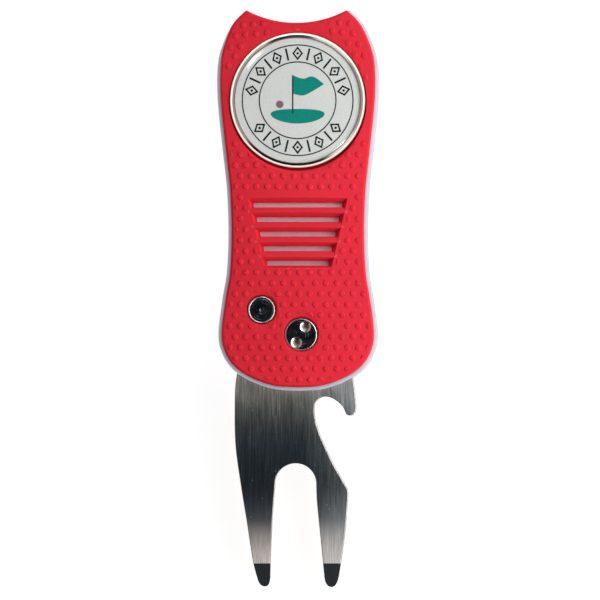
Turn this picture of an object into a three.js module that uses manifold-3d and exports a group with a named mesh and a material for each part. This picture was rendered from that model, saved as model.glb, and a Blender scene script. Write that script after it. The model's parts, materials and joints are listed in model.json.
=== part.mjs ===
// Divot repair tool: a two-shell handle with rubber grips, a fork that swings out on a pivot under a
// torsion spring, a push-button lock and a ball marker held by a magnet.
// Millimetres, +Z up. The tool lies on its rear grip with the fork open and pointing along -Y.
// Everything is drawn in the handle's frame (X = 0 on the centre line, Y = 0 level with the pivot);
// the group at the end moves the middle of the tool's footprint to the origin.

import * as THREE from 'three';
import { mergeVertices } from 'three/addons/utils/BufferGeometryUtils.js';
import Module from 'manifold-3d';

const wasm = await Module();
wasm.setup();

// ---------------------------------------------------------------- driving dimensions

const TIP_Y = -46.8; // end of the longer tine
const TOP_Y = 60.3; // tips of the ears
const WIDTH = 30; // across the ears

// Layers through the thickness
const REAR_GRIP_Z = 1.5; // rear grip fills 0 to here
const REAR_FLOOR_Z = 4.5; // inner face of the rear shell
const SPLIT_Z = 5.75; // where the two shells meet
const FRONT_CEILING_Z = 7; // inner face of the front shell
const FRONT_SHELL_Z = 10.5; // outer face of the front shell
const FRONT_GRIP_Z = 11.75; // outer face of the front grip
const FORK_Z = [4.75, 6.75];

// Handle outline, right half, from the bottom of the handle round to the ear: [half width, Y]
const SIDE = [
  [0, -10.4], [4.6, -10.05], [9, -8.5], [12.3, -6.2], [14.15, -3.2], [14.75, 0.4], [13.95, 7],
  [13.2, 11.6], [12.9, 18.5], [13.15, 26.5], [14.05, 35], [14.85, 43], [14.95, 49], [14.25, 53],
  [12.2, 57.5], [9.5, 60.25], [7.2, 62],
];
const SIDE_STEPS = 30;
const TOP_ARC = { y: 77.4, r: 19.7, steps: 9, earGap: 0.4, earTurn: 0.02 }; // the hollow between the ears
const GRIP_INSET = 0.75;
const GRIP_TOP_DROP = 0.3;
const SHELL_EDGE = 0.6; // rounding of the shells' outer edges
const GRIP_EDGE = 0.35;

// The space between the shells that the fork swings through
const FORK_BAY = { wallX: -10.2, sweepR: 48, farAngle: Math.PI / 3, mouthY: -5.9 };
const BOSS = { r: 2.1, rib: 2 }; // round the screw that stands beside the fork

const PIVOT = { x: 0.6, y: 0 };
const BARREL = {
  r: 2.5, boreR: 1.8, headR: 3, holeR: 3.3, footZ: 0.4, headZ: 2, boreZ: 3.5, topZ: 9.75, edge: 0.2,
};
const PIVOT_SCREW = { headR: 3, shankR: 1.5, footZ: 4, headZ: 10, topZ: 11.4, point: 0.3, edge: 0.25 };
const SPANNER = { r: 1, offset: 1.675, depth: 0.9, frontAngle: 60, rearAngle: 15 };
const HUB_GAP = 0.1; // between the pivot barrel and what turns on it or sits round it
const REAR_WASHER = { r: 4.2, z: [4, 4.625], seatR: 4.5 };
const FRONT_WASHER = { r: 3.4, z: [6.875, 7.25] };
const SPACER = { r: 3.4, z: [7.25, 8.5] };

const BUTTON = { x: -6.7, y: 4.57, headR: 2.5, neckR: 2.1, lockR: 2.9, boreR: 1.45, holeR: 2.78 };
const BUTTON_FACE = { edge: 0.25, dimpleR: 0.5, dimple: 0.3 };
const BUTTON_Z = { foot: 4.4, lockTop: 6.9, headFoot: 9.3, top: 11.6, boreTop: 9.2 };
const POCKET = { r: 3.15, z: 2 }; // the lock cylinder sinks into this when the button is pressed
const NOTCH_R = 3.15; // fork notches that the lock cylinder sits in
const FORK_TURN = Math.PI; // open to closed
const SHOULDER_ANGLE = (215 * Math.PI) / 180; // where the open notch ends, round the button
const HORN_ANGLE = (-47 * Math.PI) / 180; // and the closed notch, round the lock's place there
const CROTCH = { x: -0.5, y: -27.65, r: 3.8 }; // between the tines
const TIP_BEVEL = { startY: -42.4, drop: 1.1 };

const MARKER = {
  y: 43.4, r: 12.5, seatR: 12.8, seatZ: 10, plateZ: 10.875, rimZ: 12, rimR: 11.7, edge: 0.3, rimEdge: 0.2,
};
const PRINT = { r: 11.5, z: 11.125 };
const DOME = { r: 11.5, edgeZ: 11.4, topZ: 12.125 };
const MAGNET = { r: 5, pocketR: 5.2, z: [8.5, 9.875] };

const SLOTS = { count: 5, topY: 25.2, pitch: 2.76, height: 1.64, topHalf: 9.19, bottomHalf: 6.23 };

const SCREWS = [[-10.3, 54], [10.3, 54], [-10.4, 22]];
const SCREW = { headR: 1.6, shankR: 0.9, headZ: 2.875, footZ: 1.75, endZ: 8.75, point: 0.5, gap: 0.3 };
const CROSS_RECESS = { length: 2, width: 0.45, depth: 0.6 };

const COIL = { r: 4.1, wire: 0.2, turns: 2.25, pitch: 0.5, z: 7.2, perTurn: 14, steps: 60 };
const COIL_LEGS = { footZ: 5.4, bendZ: 6.7, holeR: 0.5, bendR: 4.4, outR: 5.6, bendAngle: 0.09 };
const COIL_POCKET = { r: 4.95, z: 8.5 };
const LEG_NOTCH = { from: 3.6, to: 6.6, width: 1.6 }; // distances from the pivot
const BUTTON_COIL = { r: 1.05, wire: 0.17, turns: 7, perTurn: 10, z: [2.25, 8.9] };

const WIDE_ROUND = 48; // sides of the ball marker and its seat
const ROUND = 32;
const SMALL_ROUND = 16;
const WELD = 1e-5; // vertices nearer than this are one
const OVERRUN = 1; // how far a cutting tool runs past a face
const SHELL_GAP = 0.3; // between the shells and what passes through them

// ---------------------------------------------------------------- materials

const rubber = { color: 0xd6303c, roughness: 0.62, metalness: 0 };
const shellPlastic = { color: 0xe4e4ea, roughness: 0.32, metalness: 0 };
const forkSteel = { color: 0x9a9a98, roughness: 0.34, metalness: 1 };
const polishedSteel = { color: 0x6c6a6a, roughness: 0.18, metalness: 1 };
const springSteel = { color: 0x8b8d90, roughness: 0.4, metalness: 1 };
const nylon = { color: 0xe9e6da, roughness: 0.5, metalness: 0 };
const nickel = { color: 0xd8d8d4, roughness: 0.15, metalness: 1 };
const printCard = { color: 0xd9ddd6, roughness: 0.5, metalness: 0 };
const resin = { color: 0xf2f6f4, roughness: 0.05, metalness: 0, transparent: true, opacity: 0.3 };

// ---------------------------------------------------------------- solids

/** A closed geometry as a manifold solid. */
function solid(geometry) {
  const bare = geometry.clone();
  bare.deleteAttribute('normal');
  bare.deleteAttribute('uv');
  const merged = mergeVertices(bare, WELD);
  return new wasm.Manifold(new wasm.Mesh({
    numProp: 3,
    vertProperties: new Float32Array(merged.attributes.position.array),
    triVerts: new Uint32Array(merged.index.array),
  }));
}

/** A manifold solid back as a geometry. */
function geometryOf(body) {
  const mesh = body.getMesh();
  const geometry = new THREE.BufferGeometry();
  geometry.setAttribute('position', new THREE.BufferAttribute(mesh.vertProperties, 3));
  geometry.setIndex(new THREE.BufferAttribute(mesh.triVerts, 1));
  geometry.computeVertexNormals();
  return geometry;
}

/** The first solid with all the others cut from it. */
function cut(body, ...tools) {
  return tools.reduce((left, tool) => left.subtract(tool), body);
}

/** A flat shape raised from z0 to z1. */
function plate(shape, z0, z1, curveSegments = 12) {
  const geometry = new THREE.ExtrudeGeometry(shape, { depth: z1 - z0, bevelEnabled: false, curveSegments });
  return solid(geometry.translate(0, 0, z0));
}

/** A round profile of [radius, z] pairs turned about a vertical axis at x, y. */
function turned(profile, x, y, sides = ROUND) {
  const points = profile.map(([r, z]) => new THREE.Vector2(r, z));
  const geometry = new THREE.LatheGeometry(points, sides);
  geometry.rotateX(Math.PI / 2);
  geometry.translate(x, y, 0);
  const body = solid(geometry);
  return body.volume() < 0 ? solid(flipped(geometry)) : body;
}

/** The same surface facing the other way. */
function flipped(geometry) {
  const index = geometry.index.array.slice();
  for (let i = 0; i < index.length; i += 3) [index[i], index[i + 1]] = [index[i + 1], index[i]];
  const out = geometry.clone();
  out.setIndex(new THREE.BufferAttribute(index, 1));
  return out;
}

function disc(x, y, r, z0, z1, sides = ROUND) {
  return turned([[0, z0], [r, z0], [r, z1], [0, z1]], x, y, sides);
}

function ring(x, y, innerR, outerR, z0, z1, sides = ROUND) {
  return cut(disc(x, y, outerR, z0, z1, sides), disc(x, y, innerR, z0 - OVERRUN, z1 + OVERRUN, sides));
}

/** A round hole through every layer of the tool. */
function bore(x, y, r, sides = ROUND) {
  return disc(x, y, r, -OVERRUN, FRONT_GRIP_Z + OVERRUN, sides);
}

/** A round wire along a list of points. */
function wire(points, r, steps) {
  const section = new THREE.Shape().absarc(0, 0, r, 0, 2 * Math.PI, false);
  const path = new THREE.CatmullRomCurve3(points.map((p) => new THREE.Vector3(...p)));
  const geometry = new THREE.ExtrudeGeometry(section, { steps, extrudePath: path, curveSegments: 3 });
  const body = solid(geometry);
  return body.volume() < 0 ? solid(flipped(mergeVertices(geometry))) : body;
}

// ---------------------------------------------------------------- handle outline

const sideCurve = new THREE.SplineCurve(SIDE.map(([x, y]) => new THREE.Vector2(x, y)));

/** Right half of the outline moved inwards, from the bottom centre to where it meets the top arc. */
function rightHalf(inset, topDrop) {
  const arcR = TOP_ARC.r + topDrop;
  const points = [];
  for (let i = 0; i <= SIDE_STEPS; i += 1) {
    const t = i / SIDE_STEPS;
    const along = sideCurve.getTangent(t);
    const p = sideCurve.getPoint(t).add(new THREE.Vector2(-along.y, along.x).multiplyScalar(inset));
    if (i === 0) p.x = 0;
    if (Math.hypot(p.x, p.y - TOP_ARC.y) > arcR + TOP_ARC.earGap) points.push(p);
    else break;
  }
  const last = points.at(-1);
  const start = Math.atan2(last.y - TOP_ARC.y, last.x) - TOP_ARC.earTurn;
  for (let i = 0; i <= TOP_ARC.steps; i += 1) {
    const a = start + ((-Math.PI / 2 - start) * i) / TOP_ARC.steps;
    points.push(new THREE.Vector2(Math.cos(a) * arcR, TOP_ARC.y + Math.sin(a) * arcR));
  }
  return points;
}

/** The whole outline, counter-clockwise, with the right half mirrored to the left. */
function outline(inset = 0, topDrop = 0) {
  const right = rightHalf(inset, topDrop);
  const left = right.slice(1, -1).reverse().map((p) => new THREE.Vector2(-p.x, p.y));
  return [...right, ...left];
}

/** A solid between outlines of one point count at rising levels of [z, points]. */
function loft(levels) {
  const n = levels[0][1].length;
  const vertices = levels.flatMap(([z, points]) => points.flatMap((p) => [p.x, p.y, z]));
  const faces = [];
  for (let k = 0; k + 1 < levels.length; k += 1) {
    for (let i = 0; i < n; i += 1) {
      const a = k * n + i;
      const b = k * n + ((i + 1) % n);
      faces.push(a, b, b + n, a, b + n, a + n);
    }
  }
  const top = (levels.length - 1) * n;
  for (const [a, b, c] of THREE.ShapeUtils.triangulateShape(levels[0][1], [])) {
    faces.push(a, c, b);
  }
  for (const [a, b, c] of THREE.ShapeUtils.triangulateShape(levels.at(-1)[1], [])) {
    faces.push(top + a, top + b, top + c);
  }
  const geometry = new THREE.BufferGeometry();
  geometry.setAttribute('position', new THREE.Float32BufferAttribute(vertices, 3));
  geometry.setIndex(faces);
  return solid(geometry);
}

// ---------------------------------------------------------------- handle

/** The fork's bay between the shells, open at the bottom and the right, round one screw's boss. */
function forkBay() {
  const { wallX, sweepR, farAngle, mouthY } = FORK_BAY;
  const wallTop = Math.acos((wallX - PIVOT.x) / sweepR);
  const shape = new THREE.Shape();
  shape.moveTo(wallX, PIVOT.y);
  shape.absarc(PIVOT.x, PIVOT.y, sweepR, wallTop, farAngle, true);
  shape.lineTo(WIDTH, -WIDTH);
  shape.lineTo(-WIDTH, -WIDTH);
  shape.lineTo(-WIDTH, mouthY);
  const [bossX, bossY] = SCREWS[2];
  const boss = disc(bossX, bossY, BOSS.r, REAR_FLOOR_Z, FRONT_CEILING_Z, SMALL_ROUND);
  const rib = new THREE.BoxGeometry(BOSS.rib, 2 * BOSS.r, FRONT_CEILING_Z - REAR_FLOOR_Z);
  rib.translate(bossX - BOSS.rib / 2, bossY, (FRONT_CEILING_Z + REAR_FLOOR_Z) / 2);
  return cut(plate(shape, REAR_FLOOR_Z, FRONT_CEILING_Z, 16), boss, solid(rib));
}

function rearShell() {
  const body = loft([
    [REAR_GRIP_Z, outline(SHELL_EDGE, SHELL_EDGE / 2)],
    [REAR_GRIP_Z + SHELL_EDGE, outline()],
    [SPLIT_Z, outline()],
  ]);
  const screwHoles = SCREWS.flatMap(([x, y]) => [
    bore(x, y, SCREW.shankR + SCREW.gap, SMALL_ROUND),
    disc(x, y, SCREW.headR + SCREW.gap, 0, SCREW.headZ, SMALL_ROUND),
  ]);
  return cut(
    body,
    forkBay(),
    bore(PIVOT.x, PIVOT.y, BARREL.r + SHELL_GAP),
    disc(PIVOT.x, PIVOT.y, BARREL.holeR, 0, BARREL.headZ),
    disc(PIVOT.x, PIVOT.y, REAR_WASHER.seatR, REAR_WASHER.z[0], SPLIT_Z + OVERRUN),
    disc(BUTTON.x, BUTTON.y, POCKET.r, POCKET.z, SPLIT_Z + OVERRUN),
    ...screwHoles,
  );
}

/** Where the torsion spring's upper leg leaves its pocket, straight away from the button. */
function legNotch() {
  const { from, to, width } = LEG_NOTCH;
  const notch = new THREE.BoxGeometry(to - from, width, COIL_POCKET.z - FRONT_CEILING_Z);
  notch.translate(PIVOT.x + (from + to) / 2, PIVOT.y, (COIL_POCKET.z + FRONT_CEILING_Z) / 2);
  return solid(notch);
}

function frontShell() {
  const body = loft([
    [SPLIT_Z, outline()],
    [FRONT_SHELL_Z - SHELL_EDGE, outline()],
    [FRONT_SHELL_Z, outline(SHELL_EDGE, SHELL_EDGE / 2)],
  ]);
  const outside = FRONT_SHELL_Z + OVERRUN;
  const screwHoles = SCREWS.map(([x, y]) => (
    disc(x, y, SCREW.shankR + SCREW.gap, 0, SCREW.endZ + SCREW.gap, SMALL_ROUND)
  ));
  return cut(
    body,
    forkBay(),
    bore(PIVOT.x, PIVOT.y, BARREL.r + SHELL_GAP),
    disc(PIVOT.x, PIVOT.y, BARREL.holeR, PIVOT_SCREW.headZ, outside),
    disc(PIVOT.x, PIVOT.y, COIL_POCKET.r, FRONT_CEILING_Z - OVERRUN, COIL_POCKET.z),
    legNotch(),
    bore(BUTTON.x, BUTTON.y, BUTTON.holeR),
    disc(0, MARKER.y, MARKER.seatR, MARKER.seatZ, outside, WIDE_ROUND),
    disc(0, MARKER.y, MAGNET.pocketR, MAGNET.z[0], outside),
    ...screwHoles,
  );
}

/** One of the grip's slots as a tapered window, counted from the top. */
function slotWindow(k, z0, z1) {
  const top = SLOTS.topY - SLOTS.pitch * k;
  const bottom = top - SLOTS.height;
  const depth = SLOTS.pitch * (SLOTS.count - 1) + SLOTS.height;
  const half = (y) => SLOTS.bottomHalf
    + ((SLOTS.topHalf - SLOTS.bottomHalf) * (y - SLOTS.topY + depth)) / depth;
  const shape = new THREE.Shape();
  shape.moveTo(-half(bottom), bottom);
  shape.lineTo(half(bottom), bottom);
  shape.lineTo(half(top), top);
  shape.lineTo(-half(top), top);
  return plate(shape, z0 - OVERRUN, z1 + OVERRUN);
}

function slotWindows(z0, z1) {
  return Array.from({ length: SLOTS.count }, (_, k) => slotWindow(k, z0, z1));
}

function frontGrip() {
  const body = loft([
    [FRONT_SHELL_Z, outline(GRIP_INSET, GRIP_TOP_DROP)],
    [FRONT_GRIP_Z - GRIP_EDGE, outline(GRIP_INSET, GRIP_TOP_DROP)],
    [FRONT_GRIP_Z, outline(GRIP_INSET + GRIP_EDGE, GRIP_TOP_DROP + GRIP_EDGE)],
  ]);
  return cut(
    body,
    bore(0, MARKER.y, MARKER.seatR, WIDE_ROUND),
    bore(PIVOT.x, PIVOT.y, BARREL.holeR),
    bore(BUTTON.x, BUTTON.y, BUTTON.holeR),
    ...slotWindows(FRONT_SHELL_Z, FRONT_GRIP_Z),
  );
}

function rearGrip() {
  const body = loft([
    [0, outline(GRIP_INSET + GRIP_EDGE, GRIP_TOP_DROP + GRIP_EDGE)],
    [GRIP_EDGE, outline(GRIP_INSET, GRIP_TOP_DROP)],
    [REAR_GRIP_Z, outline(GRIP_INSET, GRIP_TOP_DROP)],
  ]);
  return cut(body, bore(PIVOT.x, PIVOT.y, BARREL.holeR), ...slotWindows(0, REAR_GRIP_Z));
}

// ---------------------------------------------------------------- fork

const notchReach = Math.hypot(BUTTON.x - PIVOT.x, BUTTON.y - PIVOT.y);
const buttonAngle = Math.atan2(BUTTON.y - PIVOT.y, BUTTON.x - PIVOT.x);
const tangR = notchReach - NOTCH_R;

/** Tines, bottle-opener hook and tang, with the fork open. */
function forkShape() {
  const closed = { // where the lock cylinder stands in the fork's own frame once the fork is shut
    x: PIVOT.x + notchReach * Math.cos(buttonAngle - FORK_TURN),
    y: PIVOT.y + notchReach * Math.sin(buttonAngle - FORK_TURN),
  };
  const curve = (...points) => points.map(([x, y]) => new THREE.Vector2(x, y));
  const shape = new THREE.Shape();

  // tang: open notch, round of the tang, closed notch
  shape.absarc(BUTTON.x, BUTTON.y, NOTCH_R, SHOULDER_ANGLE, buttonAngle + Math.PI, false);
  shape.absarc(PIVOT.x, PIVOT.y, tangR, buttonAngle, buttonAngle - FORK_TURN, true);
  shape.absarc(closed.x, closed.y, NOTCH_R, buttonAngle, HORN_ANGLE + 2 * Math.PI, false);

  // hook of the bottle opener
  shape.splineThru(curve([10.3, -8.6], [10.62, -11.4], [10.75, -13.4]));
  shape.quadraticCurveTo(10.8, -14.9, 9.7, -14.95);
  shape.quadraticCurveTo(9, -15, 8.8, -14.5);
  shape.splineThru(curve([8.1, -13.15], [6.6, -11.9], [5.2, -11.45]));
  shape.splineThru(curve([4.1, -11.7], [3.2, -12.6], [3.0, -14], [3.3, -16.1], [4.3, -19.1], [6.5, -23.9]));
  shape.lineTo(8.9, -28.1);
  shape.quadraticCurveTo(9.3, -28.8, 9.26, -29.6);

  // right tine, crotch, left tine
  shape.splineThru(curve([8.9, -34.7], [8.3, -39.9], [7.5, -44.8]));
  shape.quadraticCurveTo(7.1, TIP_Y, 6.2, TIP_Y);
  shape.quadraticCurveTo(5.1, TIP_Y, 4.85, -45.2);
  shape.splineThru(curve([4.1, -37.6], [3.45, -31.2], [CROTCH.x + CROTCH.r, CROTCH.y]));
  shape.absarc(CROTCH.x, CROTCH.y, CROTCH.r, 0, Math.PI, false);
  shape.splineThru(curve([-4.75, -33.3], [-5.02, -38.5], [-5.25, -45.1]));
  shape.quadraticCurveTo(-5.35, TIP_Y + 0.1, -6.2, TIP_Y + 0.1);
  shape.quadraticCurveTo(-7.2, TIP_Y + 0.1, -7.6, -45.3);

  // left edge up to the shoulder
  shape.splineThru(curve([-8.5, -41.7], [-9.55, -35], [-10.8, -27.3], [-11.75, -19.8], [-11.8, -11],
    [-11.4, -7.1], [-10.4, -2.5], [-9.6, 0.9],
    [BUTTON.x + NOTCH_R * Math.cos(SHOULDER_ANGLE), BUTTON.y + NOTCH_R * Math.sin(SHOULDER_ANGLE)]));
  return shape;
}

/** The tines' front faces are ground down towards the tips. */
function tipBevel() {
  const { startY, drop } = TIP_BEVEL;
  const face = FORK_Z[1];
  const profile = new THREE.Shape();
  profile.moveTo(startY, face);
  profile.lineTo(TIP_Y - OVERRUN, face - drop);
  profile.lineTo(TIP_Y - OVERRUN, face + OVERRUN);
  profile.lineTo(startY, face + OVERRUN);
  const geometry = new THREE.ExtrudeGeometry(profile, { depth: WIDTH, bevelEnabled: false });
  geometry.rotateZ(Math.PI / 2); // drawn as (Y, Z): turned so that the profile stands across X
  geometry.rotateY(Math.PI / 2);
  geometry.translate(-WIDTH / 2, 0, 0);
  return solid(geometry);
}

function fork() {
  const hub = bore(PIVOT.x, PIVOT.y, BARREL.r + HUB_GAP);
  const legHole = bore(PIVOT.x, PIVOT.y - COIL.r, COIL_LEGS.holeR, SMALL_ROUND);
  return cut(plate(forkShape(), ...FORK_Z, 4), hub, legHole, tipBevel());
}

// ---------------------------------------------------------------- pivot

function spannerHoles(angleDegrees, z0, z1) {
  const a = (angleDegrees * Math.PI) / 180;
  return [-1, 1].map((side) => disc(
    PIVOT.x + side * SPANNER.offset * Math.cos(a),
    PIVOT.y + side * SPANNER.offset * Math.sin(a),
    SPANNER.r, z0, z1, SMALL_ROUND,
  ));
}

function pivotBarrel() {
  const { r, boreR, headR, footZ, headZ, boreZ, topZ, edge } = BARREL;
  const body = turned([
    [0, footZ], [headR - edge, footZ], [headR, footZ + edge], [headR, headZ], [r, headZ], [r, topZ],
    [boreR, topZ], [boreR, boreZ], [0, boreZ],
  ], PIVOT.x, PIVOT.y);
  return cut(body, ...spannerHoles(SPANNER.rearAngle, -OVERRUN, footZ + SPANNER.depth));
}

function pivotScrew() {
  const { headR, shankR, footZ, headZ, topZ, point, edge } = PIVOT_SCREW;
  const body = turned([
    [0, footZ], [shankR - point, footZ], [shankR, footZ + point], [shankR, headZ], [headR, headZ],
    [headR, topZ - edge], [headR - edge, topZ], [0, topZ],
  ], PIVOT.x, PIVOT.y);
  return cut(body, ...spannerHoles(SPANNER.frontAngle, topZ - SPANNER.depth, topZ + OVERRUN));
}

/** A washer or collar round the pivot barrel. */
function pivotRing({ r, z }) {
  return ring(PIVOT.x, PIVOT.y, BARREL.r + HUB_GAP, r, ...z);
}

/** From its leg in the fork, up and round, to the leg that the front shell holds. */
function torsionSpring() {
  const { r, turns, pitch, z, perTurn, steps } = COIL;
  const { footZ, bendZ, bendR, outR, bendAngle } = COIL_LEGS;
  const at = (angle, radius, height) => [
    PIVOT.x + radius * Math.cos(angle), PIVOT.y + radius * Math.sin(angle), height,
  ];
  const start = -Math.PI / 2;
  const end = start + 2 * Math.PI * turns;
  const endZ = z + pitch * turns;
  const count = Math.round(turns * perTurn);
  const points = [at(start, r, footZ), at(start, r, bendZ)];
  for (let i = 1; i <= count; i += 1) {
    const share = i / count;
    points.push(at(start + (end - start) * share, r, z + (endZ - z) * share));
  }
  points.push(at(end + bendAngle, bendR, endZ));
  points.push(at(end + bendAngle, outR, endZ));
  return wire(points, COIL.wire, steps);
}

// ---------------------------------------------------------------- button

function releaseButton() {
  const { foot, lockTop, headFoot, top, boreTop } = BUTTON_Z;
  const { headR, neckR, lockR, boreR } = BUTTON;
  const { edge, dimpleR, dimple } = BUTTON_FACE;
  return turned([
    [0, boreTop], [boreR, boreTop], [boreR, foot], [lockR, foot], [lockR, lockTop],
    [neckR, lockTop], [neckR, headFoot], [headR, headFoot], [headR, top - edge],
    [headR - edge, top], [dimpleR, top], [0, top - dimple],
  ], BUTTON.x, BUTTON.y);
}

function buttonSpring() {
  const { r, turns, perTurn, z: [z0, z1] } = BUTTON_COIL;
  const count = turns * perTurn;
  const points = Array.from({ length: count + 1 }, (_, i) => {
    const a = (2 * Math.PI * i) / perTurn;
    const z = z0 + ((z1 - z0) * i) / count;
    return [BUTTON.x + r * Math.cos(a), BUTTON.y + r * Math.sin(a), z];
  });
  return wire(points, BUTTON_COIL.wire, count);
}

// ---------------------------------------------------------------- ball marker

function markerBase() {
  const { r, seatZ, plateZ, rimZ, rimR, edge, rimEdge } = MARKER;
  return turned([
    [0, seatZ], [r - edge, seatZ], [r, seatZ + edge], [r, rimZ - rimEdge], [r - rimEdge, rimZ],
    [rimR + rimEdge, rimZ], [rimR, rimZ - rimEdge], [rimR, plateZ], [0, plateZ],
  ], 0, MARKER.y, WIDE_ROUND);
}

function markerDome() {
  const { r, edgeZ, topZ } = DOME;
  const steps = 4;
  const crown = Array.from({ length: steps }, (_, i) => {
    const t = i / steps;
    return [r * (1 - t), edgeZ + (topZ - edgeZ) * (1 - (1 - t) ** 3)];
  });
  return turned([[0, PRINT.z], [r, PRINT.z], ...crown, [0, topZ]], 0, MARKER.y, WIDE_ROUND);
}

// ---------------------------------------------------------------- screws

function shellScrew([x, y]) {
  const { headR, shankR, headZ, footZ, endZ, point } = SCREW;
  const { length, width, depth } = CROSS_RECESS;
  const body = turned([
    [0, footZ], [headR, footZ], [headR, headZ], [shankR, headZ], [shankR, endZ - point], [0, endZ],
  ], x, y, SMALL_ROUND);
  const arm = new THREE.BoxGeometry(length, width, 2 * depth).translate(x, y, footZ);
  const across = new THREE.BoxGeometry(width, length, 2 * depth).translate(x, y, footZ);
  return cut(body, solid(arm), solid(across));
}

// ---------------------------------------------------------------- assembly

const tool = new THREE.Group();
tool.position.set(0, -(TOP_Y + TIP_Y) / 2, 0);

function piece(name, body, look) {
  const mesh = new THREE.Mesh(geometryOf(body), new THREE.MeshStandardMaterial(look));
  mesh.name = name;
  tool.add(mesh);
}

piece('rear_grip', rearGrip(), rubber);
piece('rear_shell', rearShell(), shellPlastic);
piece('front_shell', frontShell(), shellPlastic);
piece('front_grip', frontGrip(), rubber);
piece('fork', fork(), forkSteel);
piece('pivot_barrel', pivotBarrel(), polishedSteel);
piece('pivot_screw', pivotScrew(), polishedSteel);
piece('rear_washer', pivotRing(REAR_WASHER), nylon);
piece('front_washer', pivotRing(FRONT_WASHER), nylon);
piece('spring_spacer', pivotRing(SPACER), nylon);
piece('torsion_spring', torsionSpring(), springSteel);
piece('release_button', releaseButton(), polishedSteel);
piece('button_spring', buttonSpring(), springSteel);
piece('marker_magnet', disc(0, MARKER.y, MAGNET.r, ...MAGNET.z), nickel);
piece('marker_base', markerBase(), nickel);
piece('marker_print', disc(0, MARKER.y, PRINT.r, MARKER.plateZ, PRINT.z, WIDE_ROUND), printCard);
piece('marker_dome', markerDome(), resin);
SCREWS.forEach((place, i) => piece(`shell_screw_${i + 1}`, shellScrew(place), springSteel));

export default tool;
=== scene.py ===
"""Looks of the divot repair tool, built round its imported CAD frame.

Shapes are drawn in millimetres in the handle's frame: x = 0 on the handle's centre line, y = 0 level with
the pivot, z up from the surface the tool lies on. finished() moves them into the row frame, in metres.
"""

import json
import math

import bmesh
import bpy
from mathutils import Matrix, Vector


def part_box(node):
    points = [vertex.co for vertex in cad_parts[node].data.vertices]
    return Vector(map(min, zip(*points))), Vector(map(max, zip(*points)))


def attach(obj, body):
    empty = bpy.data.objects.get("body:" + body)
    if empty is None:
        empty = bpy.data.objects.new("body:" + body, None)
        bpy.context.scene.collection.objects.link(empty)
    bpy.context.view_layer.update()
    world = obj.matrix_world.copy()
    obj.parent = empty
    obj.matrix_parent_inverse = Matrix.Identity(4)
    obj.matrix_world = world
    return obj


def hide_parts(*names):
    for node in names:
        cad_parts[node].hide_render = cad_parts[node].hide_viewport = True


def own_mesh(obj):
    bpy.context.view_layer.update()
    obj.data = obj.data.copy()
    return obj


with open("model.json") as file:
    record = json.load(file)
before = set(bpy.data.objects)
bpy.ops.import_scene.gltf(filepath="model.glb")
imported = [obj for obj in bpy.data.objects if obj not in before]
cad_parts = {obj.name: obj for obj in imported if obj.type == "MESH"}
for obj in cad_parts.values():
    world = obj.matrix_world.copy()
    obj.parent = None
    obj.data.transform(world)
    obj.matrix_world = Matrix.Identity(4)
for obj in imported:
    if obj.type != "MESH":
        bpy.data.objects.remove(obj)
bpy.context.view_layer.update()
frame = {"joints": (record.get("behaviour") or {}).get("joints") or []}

# ------------------------------------------------------------------ the frame, in millimetres

MM = 0.001
JOINTS = {j["name"]: j for j in frame["joints"]}
PIVOT_AT = Vector(JOINTS["fork_swing"]["pos_m"]) / MM
SHIFT_Y = PIVOT_AT.y  # from the handle's frame to the row frame


def span(node):
    """Lowest and highest corner of a CAD node, in the handle's frame."""
    low, high = (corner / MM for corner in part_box(node))
    low.y -= SHIFT_Y
    high.y -= SHIFT_Y
    return low, high


def heights(node):
    low, high = span(node)
    return low.z, high.z


def middle(node):
    low, high = span(node)
    return (low + high) / 2


PIVOT = (PIVOT_AT.x, 0.0)
BUTTON = tuple(middle("release_button"))[:2]
MARKER = tuple(middle("marker_base"))[:2]
TIP_Y = span("fork")[0].y
TIP_GROUND_Y = -42.4  # from here the tines' tips are ground thin and black
REAR_SHELL_Z = heights("rear_shell")
FRONT_SHELL_Z = heights("front_shell")
FORK_Z = heights("fork")
FRONT_GRIP_OUT = heights("front_grip")[1] - 0.1  # the top of the crown, below the dimples
REAR_GRIP_OUT = heights("rear_grip")[0] + 0.3

# ------------------------------------------------------------------ driving dimensions

SIDE = [
    (0, -10.4), (4.6, -10.05), (9, -8.5), (12.3, -6.2), (14.15, -3.2), (14.75, 0.4), (13.95, 7),
    (13.2, 11.6), (12.9, 18.5), (13.15, 26.5), (14.05, 35), (14.85, 43), (14.95, 49), (14.25, 53),
    (12.2, 57.5), (9.5, 60.25), (7.2, 62),
]
SIDE_STEPS, ARC_STEPS = 150, 44
ARC_Y, ARC_R = 77.4, 19.7
TIP_ROUNDING = 0.14
GRIP_INSET, GRIP_TOP_DROP = 0.63, -0.12
CROWN_HALF, CROWN_RISE = 14.3, 0.5  # the covers are slightly crowned across

SEAT_R = 12.77
SEAT = (MARKER[0], MARKER[1] - 0.24)  # the marker sits high in its seat
SEAT_MOUTH_X = 9  # the seat's mouth lies level with the crown this far out
CARD_TOP = 11.68
INK_THICK, INK_OVER = 0.02, 0.022  # ink that crosses other ink stands on it
BUTTON_HOLE_R, HEAD_HOLE_R = 2.78, 3.25

SLOT_TOP_Y, SLOT_PITCH, SLOT_COUNT = 25.4, 2.76, 5
SLOT_HALF = (9.4, 6.4)  # half widths at the top of the first slot and near the foot of the last
LAST_SLOT_Y = SLOT_TOP_Y - SLOT_PITCH * (SLOT_COUNT - 1)
LAST_SLOT_FOOT = LAST_SLOT_Y - 1.95

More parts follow.
